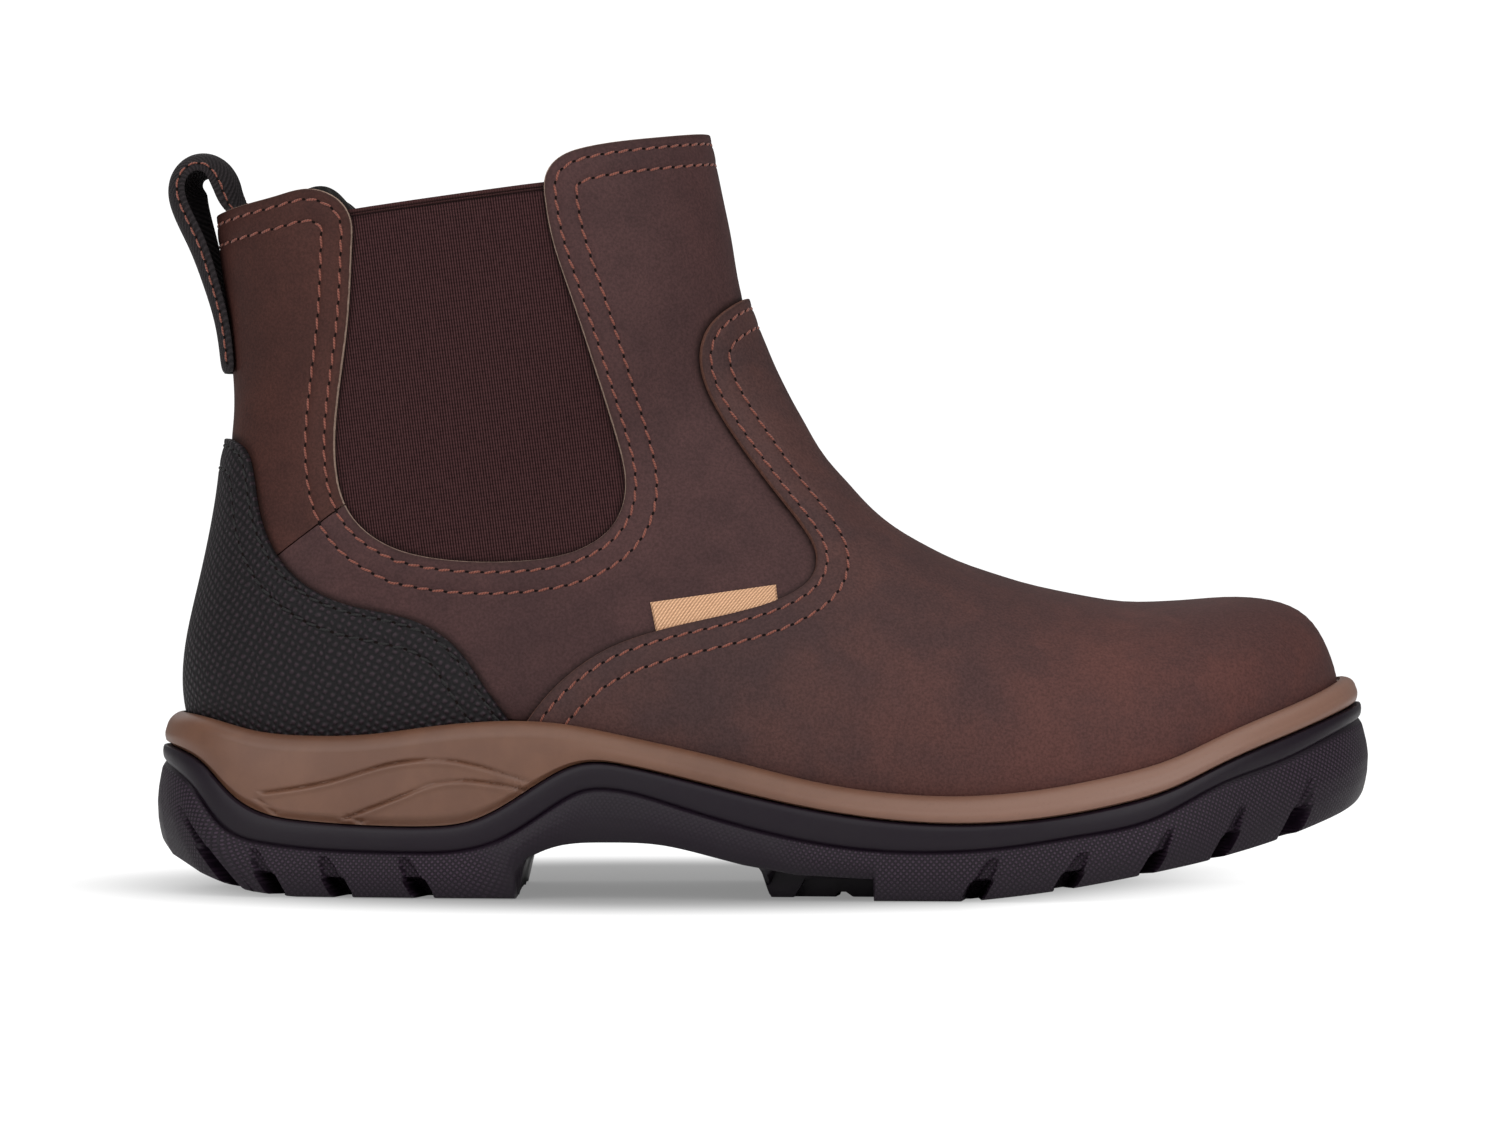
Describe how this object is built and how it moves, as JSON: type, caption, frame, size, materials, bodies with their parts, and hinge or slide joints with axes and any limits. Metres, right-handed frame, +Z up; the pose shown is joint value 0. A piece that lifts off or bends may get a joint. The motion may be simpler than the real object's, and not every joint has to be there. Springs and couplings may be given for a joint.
{
  "type": "work boot",
  "caption": "Ankle-high pull-on work boot, right foot: brown leather upper with elastic side panels, vamp overlay, dark heel counter, back loop, foam midsole and lugged rubber outsole.",
  "frame": {"origin": "centre of the bounding box, at the ground under the sole", "axes": "+X towards the toe, +Y towards the inner (medial) side, +Z up"},
  "size_m": [0.2995, 0.1128, 0.1885],
  "materials": {
    "leather": "matte oiled, fine nap",
    "counter_cloth": "coated coarse weave",
    "elastic": "fine ribbed elastic",
    "webbing": "ribbed webbing",
    "insole_cloth": "matte",
    "midsole_foam": "satin moulded foam",
    "outsole_rubber": "matte with a smooth upper band"
  },
  "bodies": {
    "root": {"outsole": "outsole_rubber", "midsole": "midsole_foam", "insole": "insole_cloth", "upper": "leather", "vamp": "leather", "heel_counter": "counter_cloth", "gore_lateral": "elastic", "gore_medial": "elastic", "pull_loop": "webbing"}
  },
  "joints": []
}
